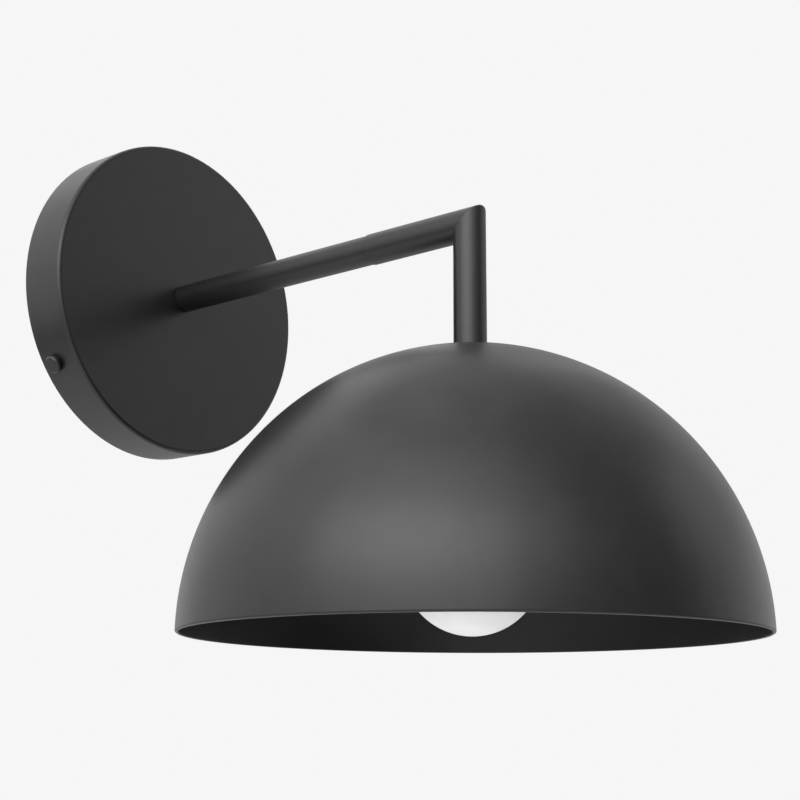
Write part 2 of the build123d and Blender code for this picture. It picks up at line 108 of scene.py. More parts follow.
def arc(centre: Pair, radius: float, start: float, stop: float, count: int) -> np.ndarray:
    """Points of an arc: centre + radius × (cos, sin) of evenly spaced angles.

    Args:
        centre: The arc's centre as (radius, height).
        radius: The arc's own radius.
        start: The first angle in degrees.
        stop: The last angle in degrees.
        count: How many points.

    Returns:
        An array of (radius, height) rows.
    """
    angle = np.radians(np.linspace(start, stop, count))
    return np.column_stack((centre[0] + radius * np.cos(angle), centre[1] + radius * np.sin(angle)))


def run(start: Pair, stop: Pair, count: int = 2) -> np.ndarray:
    """Evenly spaced points of a straight run, as (radius, height) rows."""
    return np.linspace(start, stop, count)


def outline(*strips: np.ndarray) -> np.ndarray:
    """Join strips end to end and drop each point that repeats the one before it.

    Args:
        strips: Arrays of (radius, height) rows.

    Returns:
        The rows that are left.
    """
    points = np.vstack(strips)
    step = np.linalg.norm(np.diff(points, axis=0, prepend=points[-1:]), axis=1)
    return points[step > SAME_POINT]


@dataclass(frozen=True)
class Spindle:
    """An axis in the frame that turned pieces are made about.

    Attributes:
        origin: A point on the axis.
        along: The unit direction in which heights are measured.
        side: The unit direction in which the angle is zero.
    """

    origin: Triple
    along: Triple
    side: Triple

    def place(self, radius: np.ndarray, angle: np.ndarray, height: np.ndarray) -> np.ndarray:
        """Turn cylinder coordinates into points of the frame.

        A point is origin + height × along + radius × (cos angle × side + sin angle × along × side).

        Args:
            radius: Distances from the axis, rows by columns.
            angle: Angles in radians, one for each column.
            height: Distances along the axis, rows by columns.

        Returns:
            Points in metres, rows by columns by three.
        """
        along, side = np.array(self.along), np.array(self.side)
        swing = np.cos(angle)[..., None] * side + np.sin(angle)[..., None] * np.cross(along, side)
        return MM * (np.array(self.origin) + height[..., None] * along + radius[..., None] * swing)


@dataclass(frozen=True)
class Thread:
    """A screw thread on a turned piece.

    Attributes:
        pitch: The rise in one turn.
        depth: How far the root lies inside the crest.
        low: The height where the thread starts to run in.
        high: The height where it has run out.
        least_radius: Only points at least this far from the axis are threaded.
    """

    pitch: float
    depth: float
    low: float
    high: float
    least_radius: float = 0.0

    def cut(self, radius: np.ndarray, angle: np.ndarray, height: np.ndarray) -> np.ndarray:
        """How far the thread draws each point in towards the axis.

        The cut is depth × a half cosine of the phase height / pitch - angle / turn, faded in and
        out over one pitch at its ends.

        Args:
            radius: Distances from the axis, rows by columns.
            angle: Angles in radians, one for each column.
            height: Distances along the axis, rows by columns.

        Returns:
            The cuts, rows by columns.
        """
        tooth = 0.5 - 0.5 * np.cos(2 * np.pi * height / self.pitch - angle)
        run_in = np.clip((height - self.low) / self.pitch, 0, 1)
        run_out = np.clip((self.high - height) / self.pitch, 0, 1)
        return self.depth * tooth * (run_in * run_out) * (radius >= self.least_radius)


@dataclass(frozen=True)
class Surface:
    """A surface of quads, with triangles round its poles.

    Attributes:
        points: Corner points in metres.
        quads: Rows of four point numbers.
        fans: Rows of three point numbers.
    """

    points: np.ndarray
    quads: np.ndarray
    fans: np.ndarray

    def volume(self) -> float:
        """The enclosed volume: the sum over triangles of a · (b × c) / 6.

        Returns:
            The volume in cubic metres, below zero if the faces look inwards.
        """
        triangles = np.vstack((self.quads[:, [0, 1, 2]], self.quads[:, [0, 2, 3]], self.fans))
        a, b, c = np.moveaxis(self.points[triangles], 1, 0)
        return float(np.einsum("ij,ij->", a, np.cross(b, c)) / 6)

    def facing_out(self) -> "Surface":
        """Turn every face outwards.

        Returns:
            This surface, or a copy with its faces turned over.
        """
        if self.volume() > 0:
            return self
        return Surface(self.points, self.quads[:, ::-1], self.fans[:, ::-1])

    def joined(self, other: "Surface") -> "Surface":
        """Join this surface and another one.

        Args:
            other: The other surface.

        Returns:
            A single set of points and faces.
        """
        shift = len(self.points)
        return Surface(
            np.vstack((self.points, other.points)),
            np.vstack((self.quads, other.quads + shift)),
            np.vstack((self.fans, other.fans + shift)),
        )

    def put(self, name: str, material: bpy.types.Material) -> bpy.types.Object:
        """Put the surface into the scene at the frame's origin.

        Args:
            name: The object's name.
            material: Its material.

        Returns:
            The object.
        """
        mesh = bpy.data.meshes.new(name)
        mesh.from_pydata(self.points.tolist(), [], self.quads.tolist() + self.fans.tolist())
        mesh.materials.append(material)
        placed = bpy.data.objects.new(name, mesh)
        bpy.context.scene.collection.objects.link(placed)
        return placed


def lattice(rows: int, columns: int, closed: bool) -> np.ndarray:
    """Quads of a grid of points that wraps round its columns.

    Args:
        rows: How many rows the grid has.
        columns: How many columns it has.
        closed: Whether the last row joins on to the first one.

    Returns:
        Rows of four point numbers.
    """
    row = np.arange(rows if closed else rows - 1)[:, None]
    column = np.arange(columns)[None, :]
    below, beside = (row + 1) % rows, (column + 1) % columns
    corners = np.broadcast_arrays(
        row * columns + column,
        row * columns + beside,
        below * columns + beside,
        below * columns + column,
    )
    return np.stack(corners, axis=-1).reshape(-1, 4)


def end_fans(rows: int, columns: int, first: int, last: int) -> np.ndarray:
    """Triangles from two pole points to the first and the last row of a grid.

    Args:
        rows: How many rows the grid has.
        columns: How many columns it has.
        first: The number of the pole before the first row.
        last: The number of the pole after the last row.

    Returns:
        Rows of three point numbers, the first row's triangles first.
    """
    column = np.arange(columns)
    beside = (column + 1) % columns
    base = (rows - 1) * columns
    return np.vstack(
        (
            np.column_stack((np.full(columns, first), beside, column)),
            np.column_stack((np.full(columns, last), base + column, base + beside)),
        )
    )


def ring_surface(grid: np.ndarray) -> Surface:
    """Close a grid of points that wraps round both its columns and its rows.

    Args:
        grid: Points in metres, rows by columns by three.

    Returns:
        The closed surface, facing outwards.
    """
    rows, columns = grid.shape[:2]
    no_fans = np.empty((0, 3), int)
    return Surface(grid.reshape(-1, 3), lattice(rows, columns, True), no_fans).facing_out()


def capped_surface(grid: np.ndarray, poles: np.ndarray) -> Surface:
    """Close a grid of points that wraps round its columns with a fan at each end.

    Args:
        grid: Points in metres, rows by columns by three.
        poles: The point before the first row and the one after the last row.

    Returns:
        The closed surface, facing outwards.
    """
    rows, columns = grid.shape[:2]
    points = np.vstack((grid.reshape(-1, 3), poles))
    fans = end_fans(rows, columns, rows * columns, rows * columns + 1)
    return Surface(points, lattice(rows, columns, False), fans).facing_out()


def turn(
    spindle: Spindle,
    profile: np.ndarray,
    columns: int,
    closed: bool = True,
    thread: Thread | None = None,
) -> Surface:
    """Carry a profile round a spindle, as a lathe does.

    Row i and column j of the grid is the profile's point i at the angle j / columns of a turn. The
    profile is a closed loop, or runs from one pole on the axis to another.

    Args:
        spindle: The axis.
        profile: Rows of (radius, height), or rows by columns of them if the shape isn't round.
        columns: How many steps there are in a turn.
        closed: Whether the profile is a closed loop.
        thread: A thread to cut into it.

    Returns:
        The closed surface, facing outwards.
    """
    rows = len(profile)
    angle = np.linspace(0, 2 * np.pi, columns, endpoint=False)[None, :]
    spread_out = np.broadcast_to(profile.reshape(rows, -1, 2), (rows, columns, 2))
    radius, height = spread_out[..., 0], spread_out[..., 1]
    if thread is not None:
        radius = radius - thread.cut(radius, angle, height)
    grid = spindle.place(radius, angle, height)
    if closed:
        return ring_surface(grid)
    return capped_surface(grid[1:-1], grid[[0, -1], 0])


def carry(section: np.ndarray, path: np.ndarray, across: Triple) -> Surface:
    """Carry a closed section along a flat path and close both ends.

    A point is path + section x × across + section y × (tangent × across).

    Args:
        section: Rows of (across, above) round the section.
        path: Points that the section's centre follows, in a plane.
        across: The unit direction square to that plane.

    Returns:
        The closed surface, facing outwards.
    """
    tangent = np.gradient(path, axis=0)
    tangent /= np.linalg.norm(tangent, axis=1, keepdims=True)
    above = np.cross(tangent, across)
    ring = section[None, :, :1] * np.array(across) + section[None, :, 1:] * above[:, None, :]
    return capped_surface(MM * (path[:, None, :] + ring), MM * path[[0, -1]])


# Finishes


class Bench:
    """A material in the making: its node tree, its shader and its Object coordinates."""

    def __init__(self, name: str) -> None:
        """Start a material with a plain shader.

        Args:
            name: The material's name.
        """
        self.material = bpy.data.materials.new(name)
        self.material.use_nodes = True
        self.tree = self.material.node_tree
        self.shader = self.tree.nodes["Principled BSDF"]
        self.place = self.tree.nodes.new("ShaderNodeTexCoord").outputs["Object"]

    def plug(self, node: bpy.types.Node, values: dict[str, Value]) -> None:
        """Fill a node's sockets.

        Args:
            node: The node.
            values: A number or colour to set, or an output to join, for each socket's name, with
                an underscore for each space.
        """
        for name, value in values.items():
            socket = node.inputs[name.replace("_", " ")]
            if isinstance(value, bpy.types.NodeSocket):
                self.tree.links.new(value, socket)
            else:
                socket.default_value = value

    def node(self, kind: str, **values: Value) -> bpy.types.Node:
        """Add a node of a kind and fill its sockets.

        Args:
            kind: The node's type, without the words that every shader node's type starts with.
            values: What goes into its sockets.

        Returns:
            The node.
        """
        node = self.tree.nodes.new(f"ShaderNode{kind}")
        self.plug(node, values)
        return node

    def fill(self, **values: Value) -> None:
        """Fill the shader's own sockets."""
        self.plug(self.shader, values)

    def noise(
        self, size: float, detail: float = FINE_DETAIL, stretch: Triple = (1, 1, 1)
    ) -> bpy.types.NodeSocket:
        """Grain of about one size, longer along the axes that stretch names.

        Args:
            size: The grain's size in millimetres.
            detail: How many finer layers there are.
            stretch: How much longer the grain is along each axis.

        Returns:
            The grain's value.
        """
        scale = tuple(1 / (MM * size * longer) for longer in stretch)
        mapping = self.node("Mapping", Vector=self.place, Scale=scale)
        grain = self.node("TexNoise", Vector=mapping.outputs["Vector"], Scale=1.0, Detail=detail)
        return grain.outputs["Fac"]

    def spread(self, source: bpy.types.NodeSocket, low: float, high: float) -> bpy.types.NodeSocket:
        """Spread the middle of a grain's values over a range of numbers.

        Args:
            source: The grain's value.
            low: The least number.
            high: The most.

        Returns:
            The number.
        """
        node = self.node(
            "MapRange",
            Value=source,
            From_Min=GRAIN_LOW,
            From_Max=GRAIN_HIGH,
            To_Min=low,
            To_Max=high,
        )
        return node.outputs["Result"]

    def mix(
        self, share: bpy.types.NodeSocket, first: Triple, second: Triple
    ) -> bpy.types.NodeSocket:
        """Mix two colours.

        Args:
            share: The second colour's share, from 0 to 1.
            first: One colour.
            second: The other.

        Returns:
            The mixed colour.
        """
        node = self.node("Mix")
        node.data_type = "RGBA"
        node.inputs[MIX_FIRST].default_value = (*first, 1)
        node.inputs[MIX_SECOND].default_value = (*second, 1)
        self.tree.links.new(share, node.inputs[MIX_SHARE])
        return node.outputs[MIX_RESULT]

    def bump(
        self, source: bpy.types.NodeSocket, depth: float, under: bpy.types.NodeSocket | None = None
    ) -> bpy.types.NodeSocket:
        """Raise a surface by a grain's value times a depth, on top of another relief if given.

        Args:
            source: The grain's value.
            depth: The relief's depth in millimetres.
            under: The normal of a coarser relief.

        Returns:
            The surface's normal.
        """
        node = self.node("Bump", Height=source, Strength=1.0, Distance=MM * depth)
        if under is not None:
            self.plug(node, {"Normal": under})
        return node.outputs["Normal"]


@dataclass(frozen=True)
class Finish:
    """What every finish has: two tones, a range of roughness and a fine relief.

    Attributes:
        slot: The record's slot that the finish stands for.
        tone: The main colour.
        second_tone: The colour that shows in places.
        tone_size: The size of those places.
        roughness: The least and most roughness.
        roughness_size: The size of its patches.
        relief_size: The size of the fine relief.
        relief_depth: The depth of the fine relief.
        stretch: How much longer the grain is along each axis.
    """

    slot: Slot
    tone: Triple
    second_tone: Triple
    tone_size: float
    roughness: Pair
    roughness_size: float
    relief_size: float
    relief_depth: float
    stretch: Triple = (1, 1, 1)

    def material(self) -> bpy.types.Material:
        """The finish's material, made the first time that it is asked for."""
        found = bpy.data.materials.get(self.slot.name.lower())
        return found or self.brew().material

    def pattern(self, bench: Bench) -> bpy.types.NodeSocket:
        """The second tone's share: a soft drift."""
        return bench.spread(bench.noise(self.tone_size, TONE_DETAIL, self.stretch), 0.0, 1.0)

    def relief(self, bench: Bench) -> bpy.types.NodeSocket:
        """The normal of the fine relief."""
        grain = bench.noise(self.relief_size, stretch=self.stretch)
        return bench.bump(grain, self.relief_depth)

    def brew(self) -> Bench:
        """Make the material: two tones, patchy roughness and relief.

        Returns:
            The bench with the material.
        """
        bench = Bench(self.slot.name.lower())
        patches = bench.noise(self.roughness_size, stretch=self.stretch)
        bench.fill(
            Base_Color=bench.mix(self.pattern(bench), self.tone, self.second_tone),
            Roughness=bench.spread(patches, *self.roughness),
            Normal=self.relief(bench),
        )
        return bench


@dataclass(frozen=True)
class PowderCoat(Finish):
    """Baked powder on metal: orange peel under a fine dusty grain.

    Attributes:
        peel_size: The size of the orange peel's dimples.
        peel_depth: Their depth.
        specular: The strength of the gloss.
    """

    peel_size: float = 1.4
    peel_depth: float = 0.0014
    specular: float = 0.425

    def relief(self, bench: Bench) -> bpy.types.NodeSocket:
        """The normal of the fine grain on top of the orange peel."""
        peel = bench.bump(bench.noise(self.peel_size, PEEL_DETAIL), self.peel_depth)
        return bench.bump(bench.noise(self.relief_size), self.relief_depth, peel)

    def brew(self) -> Bench:
        """Set the gloss.

        Returns:
            The bench with the material.
        """
        bench = super().brew()
        bench.fill(Specular_IOR_Level=self.specular)
        return bench


@dataclass(frozen=True)
class BareMetal(Finish):
    """Plated or rolled metal whose grain runs one way."""

    def brew(self) -> Bench:
        """Make the shader a metal.

        Returns:
            The bench with the material.
        """
        bench = super().brew()
        bench.fill(Metallic=1.0)
        return bench


@dataclass(frozen=True)
class Moulding(Finish):
    """Moulded plastic, a little translucent if light.

    Attributes:
        translucency: The share of light that spreads inside.
        scatter: How far red, green and blue light spread, as shares of scatter_scale.
        scatter_scale: How far light spreads at most, in metres.
        gloss: The strength of a clear top gloss.
        gloss_roughness: The roughness of that gloss.
    """

    translucency: float = 0.0
    scatter: Triple = (1.0, 0.9, 0.8)
    scatter_scale: float = 0.002
    gloss: float = 0.0
    gloss_roughness: float = 0.12

    def brew(self) -> Bench:
        """Add the light that spreads inside and the top gloss.

        Returns:
            The bench with the material.
        """
        bench = super().brew()
        bench.fill(
            Subsurface_Weight=self.translucency,
            Subsurface_Radius=self.scatter,
            Subsurface_Scale=self.scatter_scale,
            Coat_Weight=self.gloss,
            Coat_Roughness=self.gloss_roughness,
        )
        return bench


@dataclass(frozen=True)
class LampBoard(Finish):
    """Solder mask with rows of small square light sources in the second tone, one size apart.

    Attributes:
        half_width: Half a source's width as a share of the distance between sources.
    """

    half_width: float = 0.25

    def pattern(self, bench: Bench) -> bpy.types.NodeSocket:
        """The second tone's share: one inside a source and none outside.

        Args:
            bench: The bench with the material.

        Returns:
            The share.
        """
        scale = 1 / (MM * self.tone_size)
        cells = bench.node("TexVoronoi", Vector=bench.place, Scale=scale, Randomness=0.0)
        cells.distance = "CHEBYCHEV"
        inside = bench.node("Math", Value=cells.outputs["Distance"])
        inside.operation = "LESS_THAN"
        inside.inputs[1].default_value = self.half_width
        return inside.outputs["Value"]


def insulation(slot: Slot, tone: Triple, second_tone: Triple) -> Moulding:
    """Smooth, slightly glossy insulation in a wire's own colour.

    Args:
        slot: The record's slot.
        tone: The main colour.
        second_tone: The colour it drifts towards.

    Returns:
        The finish.
    """
    return Moulding(
        slot=slot,
        tone=tone,
        second_tone=second_tone,
        tone_size=3.0,
        roughness=(0.26, 0.36),
        roughness_size=1.0,
        relief_size=0.3,
        relief_depth=0.004,
        gloss=0.3,
    )


COAT = PowderCoat(
    slot=Slot.COAT,
    tone=(0.0055, 0.0055, 0.0058),
    second_tone=(0.0080, 0.0080, 0.0083),
    tone_size=9.0,
    roughness=(0.345, 0.375),
    roughness_size=1.6,
    relief_size=0.3,
    relief_depth=0.0008,
)
ZINC = BareMetal(
    slot=Slot.ZINC,
    tone=(0.57, 0.58, 0.59),
    second_tone=(0.70, 0.70, 0.69),
    tone_size=2.0,
    roughness=(0.34, 0.44),
    roughness_size=1.2,
    relief_size=0.2,
    relief_depth=0.0007,
    stretch=(12, 1, 1),
)
GREEN_STEEL = BareMetal(
    slot=Slot.GREEN_STEEL,
    tone=(0.05, 0.30, 0.11),
    second_tone=(0.08, 0.38, 0.15),
    tone_size=2.0,
    roughness=(0.28, 0.40),
    roughness_size=1.0,
    relief_size=0.2,
    relief_depth=0.001,
)
BRASS = BareMetal(
    slot=Slot.BRASS,
    tone=(0.72, 0.52, 0.22),
    second_tone=(0.80, 0.61, 0.31),
    tone_size=4.0,
    roughness=(0.26, 0.38),
    roughness_size=1.5,
    relief_size=0.25,
    relief_depth=0.001,
    stretch=(1, 1, 5),
)
NICKEL = BareMetal(
    slot=Slot.NICKEL,
    tone=(0.66, 0.65, 0.61),
    second_tone=(0.75, 0.74, 0.70),
    tone_size=6.0,
    roughness=(0.24, 0.34),
    roughness_size=1.5,
    relief_size=0.2,
    relief_depth=0.001,
    stretch=(4, 4, 1),
)
NYLON = Moulding(
    slot=Slot.NYLON,
    tone=(0.78, 0.74, 0.64),
    second_tone=(0.83, 0.80, 0.71),
    tone_size=5.0,
    roughness=(0.38, 0.50),
    roughness_size=1.5,
    relief_size=0.3,
    relief_depth=0.004,
    translucency=0.2,
)
PHENOLIC = Moulding(
    slot=Slot.PHENOLIC,
    tone=(0.017, 0.017, 0.018),
    second_tone=(0.030, 0.029, 0.028),
    tone_size=1.2,
    roughness=(0.30, 0.46),
    roughness_size=2.0,
    relief_size=0.4,
    relief_depth=0.005,
)
BLACK_WIRE = insulation(Slot.BLACK_WIRE, (0.015, 0.015, 0.015), (0.024, 0.024, 0.024))
WHITE_WIRE = insulation(Slot.WHITE_WIRE, (0.80, 0.80, 0.78), (0.86, 0.86, 0.84))
GREEN_WIRE = insulation(Slot.GREEN_WIRE, (0.04, 0.34, 0.10), (0.06, 0.41, 0.14))
OPAL = Moulding(
    slot=Slot.OPAL,
    tone=(0.84, 0.84, 0.83),
    second_tone=(0.88, 0.88, 0.87),
    tone_size=8.0,
    roughness=(0.32, 0.42),
    roughness_size=2.0,
    relief_size=0.6,
    relief_depth=0.004,
    translucency=0.35,
)
BULB_PLASTIC = Moulding(
    slot=Slot.BULB_PLASTIC,
    tone=(0.82, 0.82, 0.81),
    second_tone=(0.86, 0.86, 0.85),
    tone_size=6.0,
    roughness=(0.36, 0.48),
    roughness_size=2.0,
    relief_size=0.4,
    relief_depth=0.005,
    translucency=0.1,
)
BOARD = LampBoard(
    slot=Slot.BOARD,
    tone=(0.82, 0.82, 0.80),
    second_tone=(0.78, 0.62, 0.12),
    tone_size=6.0,
    roughness=(0.28, 0.40),
    roughness_size=1.5,
    relief_size=0.4,
    relief_depth=0.003,
)


# The lamp


REACH = 212.5
SHADE_SPINDLE = Spindle((0, -REACH, 0), (0, 0, 1), (1, 0, 0))
ARM_SPINDLE = Spindle((0, 0, 0), (0, -1, 0), (1, 0, 0))


class SubAssembly(ABC):
    """A group of pieces that are built and dressed together.

    Attributes:
        nodes: The CAD nodes by name.
    """

    nodes: dict[str, bpy.types.Object]

    def make(self, nodes: dict[str, bpy.types.Object]) -> None:
        """Build the group's own pieces, then dress the CAD nodes that it keeps.

        Args:
            nodes: The CAD nodes by name.
        """
        self.nodes = nodes
        self.build()
        self.dress()

    @abstractmethod
    def build(self) -> None:
        """Make the group's own pieces."""

    @abstractmethod
    def dress(self) -> None:
        """Give the group's CAD nodes their finishes."""

    def add(
        self, name: str, surface: Surface, body: Body, finish: Finish, *stands_for: str
    ) -> None:
        """Put a surface into the scene as a piece of the lamp.

        Args:
            name: The piece's name.
            surface: Its shape.
            body: The body that it rides on.
            finish: Its finish.
            stands_for: The CAD nodes that it replaces.
        """
        piece = surface.put(name, finish.material())
        mesh = piece.data
        mesh.polygons.foreach_set("use_smooth", np.ones(len(mesh.polygons), bool))
        mesh.set_sharp_from_angle(angle=np.radians(SHARP_ANGLE))
        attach(piece, body.value)
        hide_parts(*stands_for)
        log.info("%s: %d faces for %s", name, len(mesh.polygons), ", ".join(stands_for))

    def finish(self, finish: Finish, *names: str) -> None:
        """Give one finish to CAD nodes.

        Args:
            finish: The finish.
            names: The nodes' names.
        """
        for name in names:
            node = self.nodes[name]
            if not node.material_slots:
                node.data.materials.append(finish.material())
            for slot in node.material_slots:
                slot.material = finish.material()
            log.info("%s: %s", name, finish.slot.value)


@dataclass
class Nipple:
    """A threaded tube.

    Attributes:
        name: The piece's name, which its CAD node has too.
        spindle: Its axis.
        low: The height of its lower end.
        high: The height of its upper end.
        radius: The radius of its crests.
        bore: The radius of its bore.
        pitch: The thread's pitch.
        depth: The thread's depth.
        chamfer: The chamfer on its ends.
        rows_per_pitch: How many rows of points one pitch has.
        columns: How many points there are in a turn.
    """

    name: str
    spindle: Spindle
    low: float
    high: float
    radius: float = 5.0
    bore: float = 3.6
    pitch: float = 1.0
    depth: float = 0.5
    chamfer: float = 0.5
    rows_per_pitch: int = 10
    columns: int = 72

    def surface(self) -> Surface:
        """Turn a tube whose outside is threaded from end to end.

        Returns:
            The surface.
        """
        low, high, cut = self.low, self.high, self.chamfer
        rows = int(self.rows_per_pitch * (high - low - 2 * cut) / self.pitch)
        profile = outline(
            run((self.bore, low), (self.radius - cut, low)),
            run((self.radius, low + cut), (self.radius, high - cut), rows),
            run((self.radius - cut, high), (self.bore, high)),
        )
        crest = self.radius - CREST_SLACK
        thread = Thread(self.pitch, self.depth, low + cut, high - cut, crest)
        return turn(self.spindle, profile, self.columns, thread=thread)


@dataclass
class HexNut:
    """A thin hexagon nut with its corners chamfered.

    Attributes:
        name: The piece's name.
        spindle: Its axis.
        low: The height of its lower face.
        high: The height of its upper face.
        across_flats: Its width over two flats.
        bore: The radius of its hole.
        lead_in: The chamfer at the hole.
        corner_angle: The slope of the corner chamfer in degrees.
        face_share: The width of the flat faces as a share of across_flats.
        columns: How many points there are in a turn.
    """

    name: str
    spindle: Spindle
    low: float
    high: float
    across_flats: float = 17.0
    bore: float = 5.1
    lead_in: float = 0.5
    corner_angle: float = 30.0
    face_share: float = 0.96
    columns: int = 96

    def surface(self) -> Surface:
        """Cut a hexagon prism by a cone at each face.

        The wall's radius is half the flats over the cosine of the angle from the nearest flat, and
        the cone lowers each face by the radius past the face's circle × the tangent of the slope.

        Returns:
            The surface.
        """
        columns = self.columns
        angle = np.linspace(0, 2 * np.pi, columns, endpoint=False)
        half = self.across_flats / 2
        wall = half / np.cos(angle % (np.pi / 3) - np.pi / 6)
        circle = np.full(columns, self.face_share * half)
        drop = (wall - circle) * np.tan(np.radians(self.corner_angle))
        bore, mouth = np.full(columns, self.bore), np.full(columns, self.bore + self.lead_in)
        radius = np.array([bore, mouth, circle, wall, wall, circle, mouth, bore])
        rise = np.array([0 * drop + self.lead_in, 0 * drop, 0 * drop, drop])
        height = np.vstack((self.low + rise, self.high - rise[::-1]))
        return turn(self.spindle, np.stack((radius, height), axis=-1), columns)


@dataclass
class SideScrew:
    """A thumb screw in the canopy's rim.

    Attributes:
        body: The body that it is, which names its CAD node too.
        angle: The direction of its axis in degrees, from +X towards +Z.
        depth: How far the axis lies from the wall.
        head_start: The distance of the head's underside from the canopy's axis.
        head_height: The head's thickness.
        head_radius: The head's radius.
        head_chamfer: The chamfer round its outer face.
        edge_radius: How far the head's edges are eased.
        shank_radius: The radius of the thread's crests.
        shank_length: The length from the head's underside to the tip.
        tip_chamfer: The chamfer at the tip.
        neck: The plain length under the head.
        pitch: The thread's pitch.
        thread_depth: The thread's depth.
        run_in: How far from the tip the thread starts.
        run_out: How far from the head it has run out.
        rows: How many rows of points the shank has.
        edge_rows: How many rows each eased edge has.
        columns: How many points there are in a turn.
    """

    body: Body
    angle: float
    depth: float = 9.3
    head_start: float = 83.8
    head_height: float = 2.8
    head_radius: float = 4.5
    head_chamfer: float = 0.6
    edge_radius: float = 0.2
    shank_radius: float = 2.0
    shank_length: float = 11.5
    tip_chamfer: float = 0.5
    neck: float = 0.6
    pitch: float = 0.7
    thread_depth: float = 0.4
    run_in: float = 0.4
    run_out: float = 0.8
    rows: int = 140
    edge_rows: int = 4
    columns: int = 72

    def spindle(self) -> Spindle:
        """The screw's axis, square to the rim."""
        turn_by = np.radians(self.angle)
        return Spindle((0, -self.depth, 0), (np.cos(turn_by), 0, np.sin(turn_by)), (0, -1, 0))

    def surface(self) -> Surface:
        """Turn a threaded shank under a flat round head, from pole to pole.

        Returns:
            The surface.
        """
        start, end = self.head_start, self.head_start + self.head_height
        tip, shank, head = start - self.shank_length, self.shank_radius, self.head_radius
        cut, soft, rows = self.head_chamfer, self.edge_radius, self.edge_rows
        profile = np.vstack(
            (
                run((0, tip), (shank - self.tip_chamfer, tip)),
                run((shank, tip + self.tip_chamfer), (shank, start - self.neck), self.rows),
                run((shank, start), (head - soft, start)),
                arc((head - soft, start + soft), soft, -70, 0, rows),
                arc((head - soft, end - cut - soft), soft, 0, 45, rows),
                arc((head - cut - soft, end - soft), soft, 45, 90, rows),
                run((head - cut - 2 * soft, end), (0, end), count=3),
            )
        )
        low, high = tip + self.run_in, start - self.run_out
        thread = Thread(self.pitch, self.thread_depth, low, high, shank - CREST_SLACK)
        return turn(self.spindle(), profile, self.columns, closed=False, thread=thread)


@dataclass
class WallMount(SubAssembly):
    """The canopy, the bracket behind it, its side screws and the wiring inside.

    Attributes:
        screws: The two side screws.
        nut: The nut on the arm's nipple.
    """

    screws: list[SideScrew] = field(
        default_factory=lambda: [
            SideScrew(Body.RIGHT_SCREW, angle=34.5),
            SideScrew(Body.LEFT_SCREW, angle=214.5),
        ]
    )
    nut: HexNut = field(
        default_factory=lambda: HexNut("arm_nut_chamfered", ARM_SPINDLE, low=18.3, high=22.3)
    )

    def build(self) -> None:
        """Make the side screws and the nut on the arm's nipple."""
        for screw in self.screws:
            name = screw.body.value
            self.add(f"{name}_turned", screw.surface(), screw.body, COAT, name)
        self.add(self.nut.name, self.nut.surface(), Body.FIXTURE, ZINC, "arm_nut")

    def dress(self) -> None:
        """Coat the canopy, plate the bracket and colour the wiring."""
        self.finish(COAT, "canopy")
        self.finish(ZINC, "wall_bracket", "arm_lock_washer")
        self.finish(ZINC, "terminal_screws", "terminal_block_screws")
        self.finish(GREEN_STEEL, "ground_screw")
        self.finish(BRASS, "earth_lug", "terminal_clamps")
        self.finish(NYLON, "terminal_block")
        self.finish(BLACK_WIRE, "live_wire")
        self.finish(WHITE_WIRE, "neutral_wire")
        self.finish(GREEN_WIRE, "earth_wire")


@dataclass
class Tube:
    """A plain tube, its outer ends eased.

    Attributes:
        spindle: Its axis.
        low: The height of its lower end.
        high: The height of its upper end.
        radius: Its outer radius.
        bore: Its inner radius.
        low_ease: The chamfer at its lower end.
        high_ease: The chamfer at its upper end.
        rows: How many rows of points its outside has.
        columns: How many points there are in a turn.
    """

    spindle: Spindle
    low: float
    high: float
    radius: float
    bore: float
    low_ease: float
    high_ease: float
    rows: int = 24
    columns: int = 96

    def surface(self) -> Surface:
        """Turn the tube's wall as a closed loop.

        Returns:
            The surface.
        """
        low, high, radius = self.low, self.high, self.radius
        profile = outline(
            run((self.bore, low), (radius - self.low_ease, low)),
            run((radius, low + self.low_ease), (radius, high - self.high_ease), self.rows),
            run((radius - self.high_ease, high), (self.bore, high)),
        )
        return turn(self.spindle, profile, self.columns)


